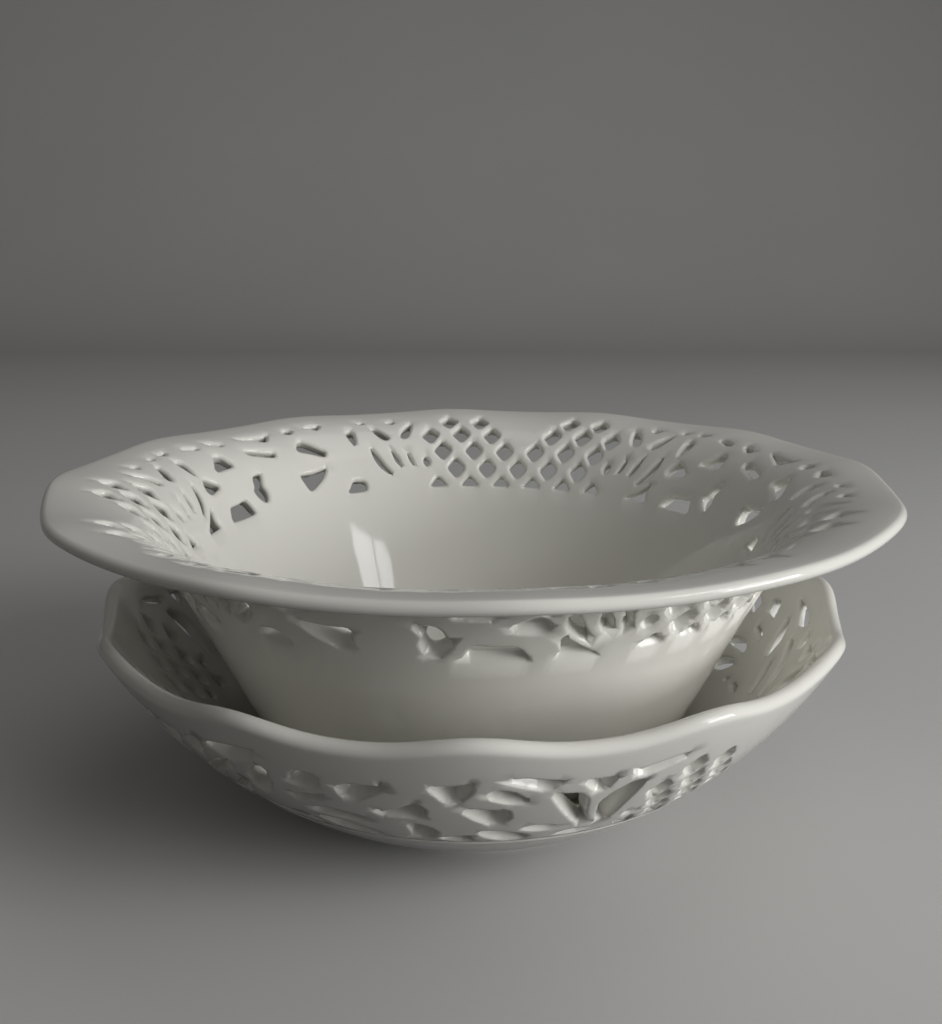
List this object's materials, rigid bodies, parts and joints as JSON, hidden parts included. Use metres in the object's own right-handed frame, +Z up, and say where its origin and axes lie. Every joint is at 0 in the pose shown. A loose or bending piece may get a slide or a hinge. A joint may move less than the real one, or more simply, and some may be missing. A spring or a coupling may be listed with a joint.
{
  "type": "openwork porcelain bowl",
  "caption": "White glazed porcelain bowl with a wavy flared rim and walls pierced in lattice and leaf patterns, standing loose in a wider, lower bowl of the same make.",
  "frame": {"origin": "centre of the lower bowl's foot ring, on the surface that it stands on", "axes": "+Z up along the axis that both bowls share, -Y towards the viewer, +X to the viewer's right"},
  "size_m": [0.2536, 0.2536, 0.1039],
  "materials": {
    "glazed_porcelain": "clear glossy glaze over white porcelain"
  },
  "bodies": {
    "lower": {"lower_bowl": "glazed_porcelain"},
    "upper": {"upper_bowl": "glazed_porcelain"}
  },
  "joints": [
    {"name": "lift_out", "type": "slide", "parent": "lower", "child": "upper", "axis": [0, 0, 1], "range_m": [0, 0.1]}
  ]
}
